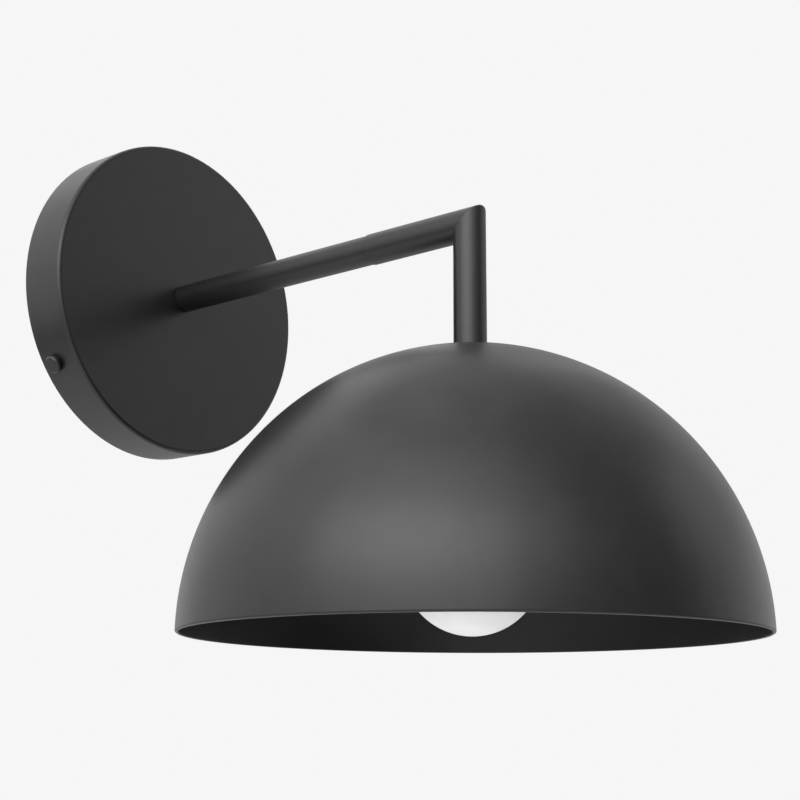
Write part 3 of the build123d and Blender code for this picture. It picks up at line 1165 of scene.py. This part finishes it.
@dataclass
class ElbowLeg:
    """One leg of the welded elbow, cut at the mitre, its edge there eased.

    Attributes:
        node: The CAD node that it stands for.
        along: The direction from its far end to the corner.
        outward: The direction from its axis to the outside of the corner.
        length: The distance from its far end to the crossing of the axes.
        radius: Its outer radius.
        bore: Its inner radius.
        end_ease: The chamfer at its far end.
        outer_round: The radius to which the edge is eased at the corner's tip.
        inner_round: The radius in the corner's crook.
        rows: How many rows of points its outside and its lining have.
        arc_rows: How many rows the eased edge has.
        columns: How many points there are in a turn.
    """

    node: str
    along: Triple
    outward: Triple
    length: float
    radius: float = 7.5
    bore: float = 6.3
    end_ease: float = 0.3
    outer_round: float = 0.5
    inner_round: float = 0.25
    rows: int = 20
    arc_rows: int = 12
    columns: int = 96

    def place(self, across: np.ndarray, reach: np.ndarray, rise: np.ndarray) -> np.ndarray:
        """Points of the frame at the crossing + across × X + reach × along + rise × outward.

        Args:
            across: Distances to the right of the leg's plane.
            reach: Distances along the leg, past the crossing of the axes.
            rise: Distances towards the outside of the corner.

        Returns:
            Points in metres, rows by columns by three.
        """
        across, reach, rise = (part[..., None] for part in np.broadcast_arrays(across, reach, rise))
        along, outward = np.array(self.along), np.array(self.outward)
        offset = across * np.array([1, 0, 0]) + reach * along + rise * outward
        return MM * (np.array([0, -REACH, 0]) + offset)

    def surface(self) -> Surface:
        """Turn lines along the leg into the mitre plane, each by its own small arc.

        A line at the angle p round the leg has the rise v = radius × sin p. Its arc's radius q runs
        from the crook's to the tip's with v, and at the turn t it stands at the reach v - q + q sin
        t and the rise v - q + q cos t, so that it meets the mitre at half a right angle.

        Returns:
            The surface.
        """
        angle = np.linspace(0, 2 * np.pi, self.columns, endpoint=False)[None, :]
        bend = np.radians(np.linspace(0, 45, self.arc_rows))[:, None]
        share = np.linspace(0, 1, self.rows)[:, None]
        across, rise = self.radius * np.cos(angle), self.radius * np.sin(angle)
        arc_range = self.outer_round - self.inner_round
        arc_radius = self.inner_round + arc_range * (1 + np.sin(angle)) / 2
        start, first = rise - arc_radius, self.end_ease - self.length
        wall = self.place(across, first + share * (start - first), rise)
        turned = self.place(
            across, start + arc_radius * np.sin(bend), start + arc_radius * np.cos(bend)
        )
        eased = (self.radius - self.end_ease) / self.radius
        end = self.place(eased * across, np.array([[-self.length]]), eased * rise)
        thin = self.bore / self.radius
        mouth = thin * rise
        lining = self.place(thin * across, mouth + share * (-self.length - mouth), mouth)
        return ring_surface(np.concatenate((end, wall, turned[1:], lining)))


@dataclass
class Arm(SubAssembly):
    """The arm's tubes and the nipples and bushes that join them.

    Attributes:
        tube: The straight tube from the canopy to the seam.
        legs: The two legs of the elbow.
        nipples: The nipples at the canopy, the seam and the shade.
    """

    tube: Tube = field(
        default_factory=lambda: Tube(
            ARM_SPINDLE, low=25.5, high=155.5, radius=7.1, bore=5.9, low_ease=0.4, high_ease=0.2
        )
    )
    legs: list[ElbowLeg] = field(
        default_factory=lambda: [
            ElbowLeg("elbow_arm_tube", along=(0, -1, 0), outward=(0, 0, 1), length=57.0),
            ElbowLeg("elbow_drop_tube", along=(0, 0, 1), outward=(0, -1, 0), length=61.0),
        ]
    )
    nipples: list[Nipple] = field(
        default_factory=lambda: [
            Nipple("arm_nipple", ARM_SPINDLE, low=17.8, high=36.0),
            Nipple("coupling_nipple", ARM_SPINDLE, low=145.0, high=166.0),
            Nipple("shade_nipple", SHADE_SPINDLE, low=-69.8, high=-50.5),
        ]
    )

    def build(self) -> None:
        """Make the tubes and the threaded nipples."""
        self.add("arm_tube_eased", self.tube.surface(), Body.FIXTURE, COAT, "arm_tube")
        for leg in self.legs:
            self.add(f"{leg.node}_ground", leg.surface(), Body.FIXTURE, COAT, leg.node)
        for nipple in self.nipples:
            name = nipple.name
            self.add(f"{name}_threaded", nipple.surface(), Body.FIXTURE, ZINC, name)

    def dress(self) -> None:
        """Plate the bushes."""
        self.finish(ZINC, "arm_base_bush", "arm_end_bush", "elbow_end_bush", "drop_end_bush")


@dataclass
class Shade(SubAssembly):
    """The spun dome and what clamps it under the drop tube.

    Attributes:
        radius: The dome's outer radius.
        wall: Its thickness.
        rim_height: The height of its rim, where the sphere's centre lies.
        top: The height of its flat seat.
        seat_radius: The radius of an inner ring of the seat.
        hole_radius: The radius of the hole for the nipple.
        rim_radius: How far the rim's outer edge is eased.
        inner_rim_radius: How far its inner edge is eased.
        rim_rows: How many rows of points the rim's outer edge has.
        outer_rows: How many rows the outside has.
        inner_rows: How many rows the inside has.
        inner_rim_rows: How many rows the rim's inner edge has.
        columns: How many points there are in a turn.
        nut: The nut under the washer.
    """

    radius: float = 125.0
    wall: float = 1.5
    rim_height: float = -185.515
    top: float = -61.0
    seat_radius: float = 9.0
    hole_radius: float = 5.1
    rim_radius: float = 0.9
    inner_rim_radius: float = 0.4
    rim_rows: int = 9
    outer_rows: int = 100
    inner_rows: int = 90
    inner_rim_rows: int = 7
    columns: int = 288
    nut: HexNut = field(
        default_factory=lambda: HexNut("shade_nut_chamfered", SHADE_SPINDLE, low=-67.7, high=-63.7)
    )

    def profile(self) -> np.ndarray:
        """The dome's wall as a closed loop: outer arc, flat seat, inner arc and rounded rim.

        Returns:
            Rows of (radius, height).
        """
        soft, inner_soft, rim = self.rim_radius, self.inner_rim_radius, self.rim_height
        top, under = self.top, self.top - self.wall
        seat, hole = self.seat_radius, self.hole_radius
        outer, inner = self.radius, self.radius - self.wall
        outer_seat = np.degrees(np.arcsin((top - rim) / outer))
        inner_seat = np.degrees(np.arcsin((under - rim) / inner))
        lift, inner_lift = np.degrees(soft / outer), np.degrees(inner_soft / inner)
        return outline(
            arc((outer - soft, rim + soft), soft, -90, 0, self.rim_rows),
            arc((0.0, rim), outer, lift, outer_seat, self.outer_rows),
            run((seat, top), (hole, top)),
            run((hole, under), (seat, under)),
            arc((0.0, rim), inner, inner_seat, inner_lift, self.inner_rows),
            arc((inner + inner_soft, rim + inner_soft), inner_soft, 180, 270, self.inner_rim_rows),
        )

    def build(self) -> None:
        """Spin the dome and make its nut."""
        dome = turn(SHADE_SPINDLE, self.profile(), self.columns)
        self.add("shade_dome", dome, Body.FIXTURE, COAT, "shade")
        self.add(self.nut.name, self.nut.surface(), Body.FIXTURE, ZINC, "shade_nut")

    def dress(self) -> None:
        """Plate the washer."""
        self.finish(ZINC, "shade_washer")


@dataclass
class Socket(SubAssembly):
    """The bulb's screw socket with its rolled shell and sprung contact.

    Attributes:
        floor: The height of the deck's underside.
        shell_radius: The shell's outer radius.
        shell_sheet: The thickness of its sheet.
        shell_length: Its length.
        thread_pitch: The thread's pitch.
        thread_depth: The thread's depth.
        run_in: How far from the shell's mouth the thread starts.
        run_out: How far from the deck it has run out.
        shell_rows: How many rows of points each side of the shell has.
        shell_columns: How many points there are in a turn.
        strip_width: The width of the tab and of the tongue.
        strip_sheet: Their thickness.
        strip_power: The power of the superellipse that is their section.
        strip_points: How many points that section has.
        post_x: Where the tab starts, under its post.
        tab_gap: How far inside the shell's outside it ends.
        tab_rows: How many rows of points it has.
        tongue_start: Where the tongue starts, under its post.
        tongue_stop: Where it ends.
        bend_start: Where it starts to bend down.
        bend_length: How far along X it bends.
        tongue_rows: How many rows of points it has.
        contact_drop: How far its end lies under the deck.
    """

    floor: float = -82.7
    shell_radius: float = 13.95
    shell_sheet: float = 0.3
    shell_length: float = 24.0
    thread_pitch: float = 3.63
    thread_depth: float = 0.5
    run_in: float = 1.0
    run_out: float = 4.0
    shell_rows: int = 120
    shell_columns: int = 120
    strip_width: float = 7.0
    strip_sheet: float = 0.6
    strip_power: float = 8.0
    strip_points: int = 32
    post_x: float = 5.0
    tab_gap: float = 0.2
    tab_rows: int = 16
    tongue_start: float = -7.3
    tongue_stop: float = 4.4
    bend_start: float = -1.0
    bend_length: float = 4.0
    tongue_rows: int = 60
    contact_drop: float = 2.4

    def strip(self, x: np.ndarray, drop: np.ndarray) -> Surface:
        """Carry a flat strip's section along X, in the plane through the socket's axis.

        The section is a superellipse: half the width or thickness × cos or sin of the angle, each
        raised to the power of two over the superellipse's.

        Args:
            x: The centre line's places along X.
            drop: How far it lies there under a strip that touches the deck.

        Returns:
            The closed surface.
        """
        angle = np.linspace(0, 2 * np.pi, self.strip_points, endpoint=False)
        swing = np.column_stack((np.cos(angle), np.sin(angle)))
        half = np.array([self.strip_width / 2, self.strip_sheet / 2])
        section = half * np.sign(swing) * np.abs(swing) ** (2 / self.strip_power)
        level = self.floor - self.strip_sheet / 2
        path = np.column_stack((x, np.full_like(x, -REACH), level - drop))
        return carry(section, path, (0, 1, 0))

    def shell(self) -> Surface:
        """Roll the threaded shell.

        Returns:
            The surface.
        """
        low, high = self.floor - self.shell_length, self.floor
        outside, inside = self.shell_radius, self.shell_radius - self.shell_sheet
        profile = outline(
            run((outside, low), (outside, high), self.shell_rows),
            run((inside, high), (inside, low), self.shell_rows),
        )
        low, high = low + self.run_in, high - self.run_out
        thread = Thread(self.thread_pitch, self.thread_depth, low, high)
        return turn(SHADE_SPINDLE, profile, self.shell_columns, thread=thread)

    def build(self) -> None:
        """Roll the threaded shell with its tab, and bend the sprung tongue.

        The tongue lies under the deck by the contact's drop × a smooth step along X.
        """
        x = np.linspace(self.post_x, self.shell_radius - self.tab_gap, self.tab_rows)
        shell = self.shell().joined(self.strip(x, np.zeros_like(x)))
        self.add("screw_shell_rolled", shell, Body.FIXTURE, BRASS, "screw_shell")
        x = np.linspace(self.tongue_start, self.tongue_stop, self.tongue_rows)
        share = np.clip((x - self.bend_start) / self.bend_length, 0, 1)
        drop = (self.contact_drop - self.strip_sheet) * share**2 * (3 - 2 * share)
        tongue = self.strip(x, drop)
        self.add("centre_contact_sprung", tongue, Body.FIXTURE, BRASS, "centre_contact")

    def dress(self) -> None:
        """Give the mouldings and posts their finishes."""
        self.finish(PHENOLIC, "socket_cap", "socket_body")
        self.finish(BRASS, "socket_terminals")


@dataclass
class Bulb(SubAssembly):
    """The screw-in bulb: opal globe, housing and rolled base.

    Attributes:
        radius: The globe's outer radius.
        centre: The height of its centre.
        wall: The thickness of the globe and the housing.
        tangent_angle: The angle above the centre, in degrees, where the housing runs on.
        neck_radius: The radius where the housing's cone meets its collar.
        neck_height: The height of that place.
        collar_radius: The radius of the collar's top.
        base_radius: The radius of the base's crests.
        base_sheet: The thickness of its sheet.
        base_low: The height of its lower end.
        base_high: The height of its upper end.
        shoulder_height: How high its drawn-in shoulder is.
        shoulder_radius: The radius at its upper end.
        thread_pitch: The thread's pitch.
        thread_depth: The thread's depth.
        run_in: How far from the base's lower end the thread starts.
        groove: How far the seam between globe and housing is eased.
        outer_rows: How many rows of points the globe's outside has.
        inner_rows: How many rows its inside has.
        cone_rows: How many rows each side of the cone has.
        collar_rows: How many rows each side of the collar has.
        thread_rows: How many rows each side of the base's threaded part has.
        shoulder_rows: How many rows each side of the shoulder has.
        columns: How many points there are in a turn of the globe and the housing.
        base_columns: How many points there are in a turn of the base.
    """

    radius: float = 30.5
    centre: float = -154.9
    wall: float = 1.5
    tangent_angle: float = 24.98
    neck_radius: float = 14.5
    neck_height: float = -113.8
    collar_radius: float = 13.3
    base_radius: float = 13.0
    base_sheet: float = 0.5
    base_low: float = -109.3
    base_high: float = -91.8
    shoulder_height: float = 2.0
    shoulder_radius: float = 10.6
    thread_pitch: float = 3.63
    thread_depth: float = 0.8
    run_in: float = 1.0
    groove: float = 0.3
    outer_rows: int = 80
    inner_rows: int = 60
    cone_rows: int = 40
    collar_rows: int = 6
    thread_rows: int = 96
    shoulder_rows: int = 8
    columns: int = 160
    base_columns: int = 120

    def globe(self) -> Surface:
        """Turn a sphere's cap from the outer pole to the inner one, eased at the seam.

        Returns:
            The surface.
        """
        middle, edge = (0.0, self.centre), self.tangent_angle
        ease = np.degrees(self.groove / self.radius)
        outer = arc(middle, self.radius, -90, edge - ease, self.outer_rows)
        lip = arc(middle, self.radius - self.groove, edge, edge, count=1)
        inner = arc(middle, self.radius - self.wall, edge, -90, self.inner_rows)
        profile = np.vstack((outer, lip, inner))
        profile[[0, -1], 0] = 0.0
        return turn(SHADE_SPINDLE, profile, self.columns, closed=False)

    def housing(self) -> Surface:
        """Turn a cone that runs on from the globe, then a collar, as a closed wall.

        Returns:
            The surface.
        """
        slope = np.radians(self.tangent_angle)
        outward = np.array([np.cos(slope), np.sin(slope)])
        uphill = np.array([-np.sin(slope), np.cos(slope)])
        joint = np.array([0.0, self.centre]) + self.radius * outward
        neck = np.array([self.neck_radius, self.neck_height])
        collar = np.array([self.collar_radius, self.base_low])
        inward = np.array([self.wall, 0.0])
        lip = joint - self.groove * outward
        profile = outline(
            run(lip, lip),
            run(joint + self.groove * uphill, neck, self.cone_rows),
            run(neck, collar, self.collar_rows),
            run(collar - inward, neck - inward, self.collar_rows),
            run(neck - inward, joint - self.wall * outward, self.cone_rows),
        )
        return turn(SHADE_SPINDLE, profile, self.columns)

    def base(self) -> Surface:
        """Turn a thin rolled sleeve with a round thread, drawn in at its top.

        Returns:
            The surface.
        """
        low, bend, high = self.base_low, self.base_high - self.shoulder_height, self.base_high
        radius, sheet = self.base_radius, self.base_sheet
        top, rows = self.shoulder_radius, self.shoulder_rows
        profile = outline(
            run((radius, low), (radius, bend), self.thread_rows),
            run((radius, bend), (top, high), rows),
            run((top - sheet, high), (radius - sheet, bend), rows),
            run((radius - sheet, bend), (radius - sheet, low), self.thread_rows),
        )
        thread = Thread(self.thread_pitch, self.thread_depth, low + self.run_in, bend)
        return turn(SHADE_SPINDLE, profile, self.base_columns, thread=thread)

    def build(self) -> None:
        """Make the globe, the housing and the base."""
        self.add("bulb_globe_opal", self.globe(), Body.BULB, OPAL, "bulb_globe")
        self.add("bulb_housing_moulded", self.housing(), Body.BULB, BULB_PLASTIC, "bulb_housing")
        self.add("bulb_base_rolled", self.base(), Body.BULB, NICKEL, "bulb_screw_base")

    def dress(self) -> None:
        """Give the board, the insulator and the tip their finishes."""
        self.finish(BOARD, "bulb_led_board")
        self.finish(PHENOLIC, "bulb_insulator")
        self.finish(BRASS, "bulb_tip_contact")


# The studio


@dataclass(frozen=True)
class SoftBox:
    """A square soft light that faces the lamp.

    Attributes:
        azimuth: Its direction in degrees: 0 stands in front of the wall and 90 to the right of it.
        elevation: Its height above the horizon in degrees.
        power: Its power in watts.
        width: Its width in metres.
        distance: Its distance from the lamp in metres.
    """

    azimuth: float
    elevation: float
    power: float
    width: float = 0.84
    distance: float = 2.0

    def hang(self, target: Vector) -> None:
        """Place the light at its distance × (sin a cos e, -cos a cos e, sin e) from a target.

        Args:
            target: The point that it faces.
        """
        a, e = np.radians(self.azimuth), np.radians(self.elevation)
        away = Vector((np.sin(a) * np.cos(e), -np.cos(a) * np.cos(e), np.sin(e)))
        name = f"softbox_{self.azimuth}_{self.elevation}"
        data = bpy.data.lights.new(name, "AREA")
        data.size = self.width
        data.energy = self.power
        light = bpy.data.objects.new(name, data)
        turned = away.to_track_quat("Z", "Y").to_matrix().to_4x4()
        light.matrix_world = Matrix.Translation(target + self.distance * away) @ turned
        light.visible_camera = False
        bpy.context.scene.collection.objects.link(light)


@dataclass
class Studio:
    """The camera, the pale floor, the backdrop and the lights.

    Attributes:
        camera_place: Where the camera stands.
        camera_right: The direction of its picture's right.
        camera_up: The direction of its picture's top.
        lens: Its focal length in millimetres.
        sensor: The width of its sensor in millimetres.
        clip_start: How near it sees.
        target: The point that the lights face, over the floor's middle.
        backdrop: The brightness of the backdrop.
        floor_height: The floor's height.
        floor_radius: Its radius.
        floor_start: The radius of its innermost ring.
        floor_rows: How many rings it has.
        floor_columns: How many spokes it has.
        floor_tone: Its colour.
        floor_roughness: Its roughness.
        mottle_size: The size of its darker patches in millimetres.
        mottle_share: How bright they are as a share of its colour.
        fade: The two shares of its radius between which it fades out.
        first_azimuth: The direction of the first light of each ring, in degrees.
        rings: For each ring of lights, its elevation in degrees and the lights' powers in watts.
    """

    camera_place: Triple = (-0.49238, -0.55975, -0.22584)
    camera_right: Triple = (0.61701, -0.78694, 0.00478)
    camera_up: Triple = (-0.18533, -0.13941, 0.97274)
    lens: float = 63.037
    sensor: float = 36.0
    clip_start: float = 0.01
    target: Triple = (0.0, -0.13, -0.05)
    backdrop: float = 0.922
    floor_height: float = -0.62
    floor_radius: float = 2.4
    floor_start: float = 0.1
    floor_rows: int = 24
    floor_columns: int = 96
    floor_tone: Triple = (0.80, 0.80, 0.80)
    floor_roughness: float = 0.9
    mottle_size: float = 60.0
    mottle_share: float = 0.97
    fade: Pair = (0.4, 0.98)
    first_azimuth: float = -52.0
    rings: dict[float, tuple[float, ...]] = field(
        default_factory=lambda: {
            -22: (0, 0, 0, 0, 0, 0.5, 1.0, 0.9, 1.2, 0.7, 0.1, 0, 0, 0, 0),
            2: (5.6, 1.8, 0.9, 0.5, 1.7, 1.9, 1.8, 1.1, 1.3, 2.0, 2.0, 2.7, 3.0, 4.4, 5.8),
            26: (9.4, 3.9, 1.3, 0.5, 2.3, 1.5, 1.4, 1.3, 1.5, 1.9, 2.4, 2.7, 3.6, 9.7, 12.1),
            50: (3.0, 2.1, 0.6, 0.8, 0.7, 1.0, 1.1, 1.5, 1.7, 1.9, 2.2, 1.6, 2.8, 3.1, 4.0),
            74: (2.2, 1.4, 1.4, 1.8, 2.7),
        }
    )

    def lights(self) -> list[SoftBox]:
        """Space the soft boxes evenly round each ring and leave out those of no power.

        Returns:
            The soft boxes.
        """
        return [
            SoftBox(self.first_azimuth + 360 * step / len(powers), elevation, power)
            for elevation, powers in self.rings.items()
            for step, power in enumerate(powers)
            if power
        ]

    def set_camera(self) -> None:
        """Stand the camera where the photograph was taken from."""
        data = bpy.data.cameras.new("camera")
        data.sensor_width = self.sensor
        data.lens = self.lens
        data.clip_start = self.clip_start
        camera = bpy.data.objects.new("camera", data)
        right, up = Vector(self.camera_right).normalized(), Vector(self.camera_up)
        back = right.cross(up).normalized()
        up = back.cross(right)
        turned = Matrix((right, up, back)).transposed().to_4x4()
        camera.matrix_world = Matrix.Translation(self.camera_place) @ turned
        bpy.context.scene.collection.objects.link(camera)
        bpy.context.scene.camera = camera

    def set_world(self) -> None:
        """Set a plain pale backdrop that the camera sees and that sheds no light."""
        world = bpy.data.worlds.new("studio")
        world.use_nodes = True
        tree = world.node_tree
        dark = tree.nodes["Background"]
        pale = tree.nodes.new("ShaderNodeBackground")
        for node, strength in ((dark, 0.0), (pale, self.backdrop)):
            node.inputs["Color"].default_value = (1, 1, 1, 1)
            node.inputs["Strength"].default_value = strength
        path = tree.nodes.new("ShaderNodeLightPath")
        mix = tree.nodes.new("ShaderNodeMixShader")
        tree.links.new(path.outputs["Is Camera Ray"], mix.inputs["Fac"])
        tree.links.new(dark.outputs["Background"], mix.inputs[1])
        tree.links.new(pale.outputs["Background"], mix.inputs[2])
        tree.links.new(mix.outputs["Shader"], tree.nodes["World Output"].inputs["Surface"])
        bpy.context.scene.world = world

    def lay_floor(self) -> None:
        """Lay a round pale floor of rings and spokes that fades into the backdrop at its edge.

        A point is the target's place + radius × (cos, sin) of the spoke's angle, at one height.
        """
        rows, columns = self.floor_rows, self.floor_columns
        radius = np.linspace(self.floor_start, self.floor_radius, rows)[:, None]
        angle = np.linspace(0, 2 * np.pi, columns, endpoint=False)[None, :]
        x, y, level = self.target[0], self.target[1], np.array(self.floor_height)
        grid = np.stack(
            np.broadcast_arrays(x + radius * np.cos(angle), y + radius * np.sin(angle), level),
            axis=-1,
        )
        points = np.vstack((grid.reshape(-1, 3), [[x, y, self.floor_height]]))
        middle = len(points) - 1
        fans = end_fans(rows, columns, middle, middle)[:columns, ::-1]
        surface = Surface(points, lattice(rows, columns, False)[:, ::-1], fans)
        floor = surface.put("floor", self.floor_material())

    def floor_material(self) -> bpy.types.Material:
        """Make matt pale grey with a faint mottle, clear towards the floor's edge.

        Returns:
            The material.
        """
        bench = Bench("floor")
        mottle = bench.spread(bench.noise(self.mottle_size, TONE_DETAIL), 0.0, 1.0)
        darker = tuple(self.mottle_share * part for part in self.floor_tone)
        away = bench.node("VectorMath", Vector=bench.place)
        away.operation = "LENGTH"
        start, stop = self.fade
        clear = bench.node(
            "MapRange",
            Value=away.outputs["Value"],
            From_Min=start * self.floor_radius,
            From_Max=stop * self.floor_radius,
            To_Min=1.0,
            To_Max=0.0,
        )
        clear.interpolation_type = "SMOOTHSTEP"
        bench.fill(
            Base_Color=bench.mix(mottle, self.floor_tone, darker),
            Roughness=self.floor_roughness,
            Alpha=clear.outputs["Result"],
        )
        return bench.material

    def build(self) -> None:
        """Set up the view, the surroundings and the lights."""
        self.set_camera()
        self.set_world()
        self.lay_floor()
        lights = self.lights()
        for light in lights:
            light.hang(Vector(self.target))
        bpy.context.scene.view_settings.view_transform = "Standard"
        log.info("studio: %d lights", len(lights))


def corners(box: tuple[Vector, Vector]) -> list[list[float]]:
    """A box's two corners as plain lists."""
    return [[float(value) for value in corner] for corner in box]


def main() -> None:
    """Load the frame, make every sub-assembly and the studio."""
    logging.basicConfig(level=logging.INFO, format="%(name)s: %(message)s")
    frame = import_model()
    for group in (WallMount(), Arm(), Shade(), Socket(), Bulb()):
        group.make(frame["nodes"])
    Studio().build()


if __name__ == "__main__":
    main()
